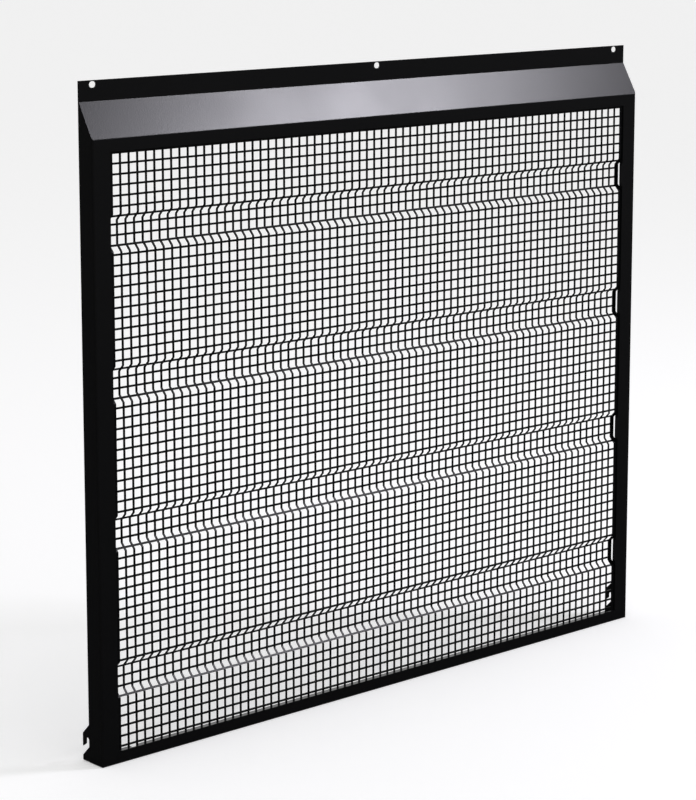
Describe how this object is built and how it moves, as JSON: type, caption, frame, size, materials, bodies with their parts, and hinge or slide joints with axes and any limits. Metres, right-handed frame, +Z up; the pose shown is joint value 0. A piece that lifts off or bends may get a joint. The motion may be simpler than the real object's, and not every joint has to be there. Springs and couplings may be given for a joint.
{
  "type": "perforated sheet metal guard panel with ribbed screen",
  "caption": "Black powder-coated sheet steel guard panel: folded frame with hook ears and screw flange, and a ribbed square-hole screen behind its window.",
  "frame": {"origin": "centre of the middle screw slot, on the plane that seats against the machine", "axes": "+X along the width to the right as seen from the front, -Y out of the front face, +Z up towards the screw flange"},
  "size_m": [0.746, 0.031, 0.654],
  "materials": {
    "frame_coat": "fine-texture black powder coat",
    "screen_coat": "fine-texture black powder coat"
  },
  "bodies": {
    "root": {"frame": "frame_coat", "screen": "screen_coat"}
  },
  "joints": []
}
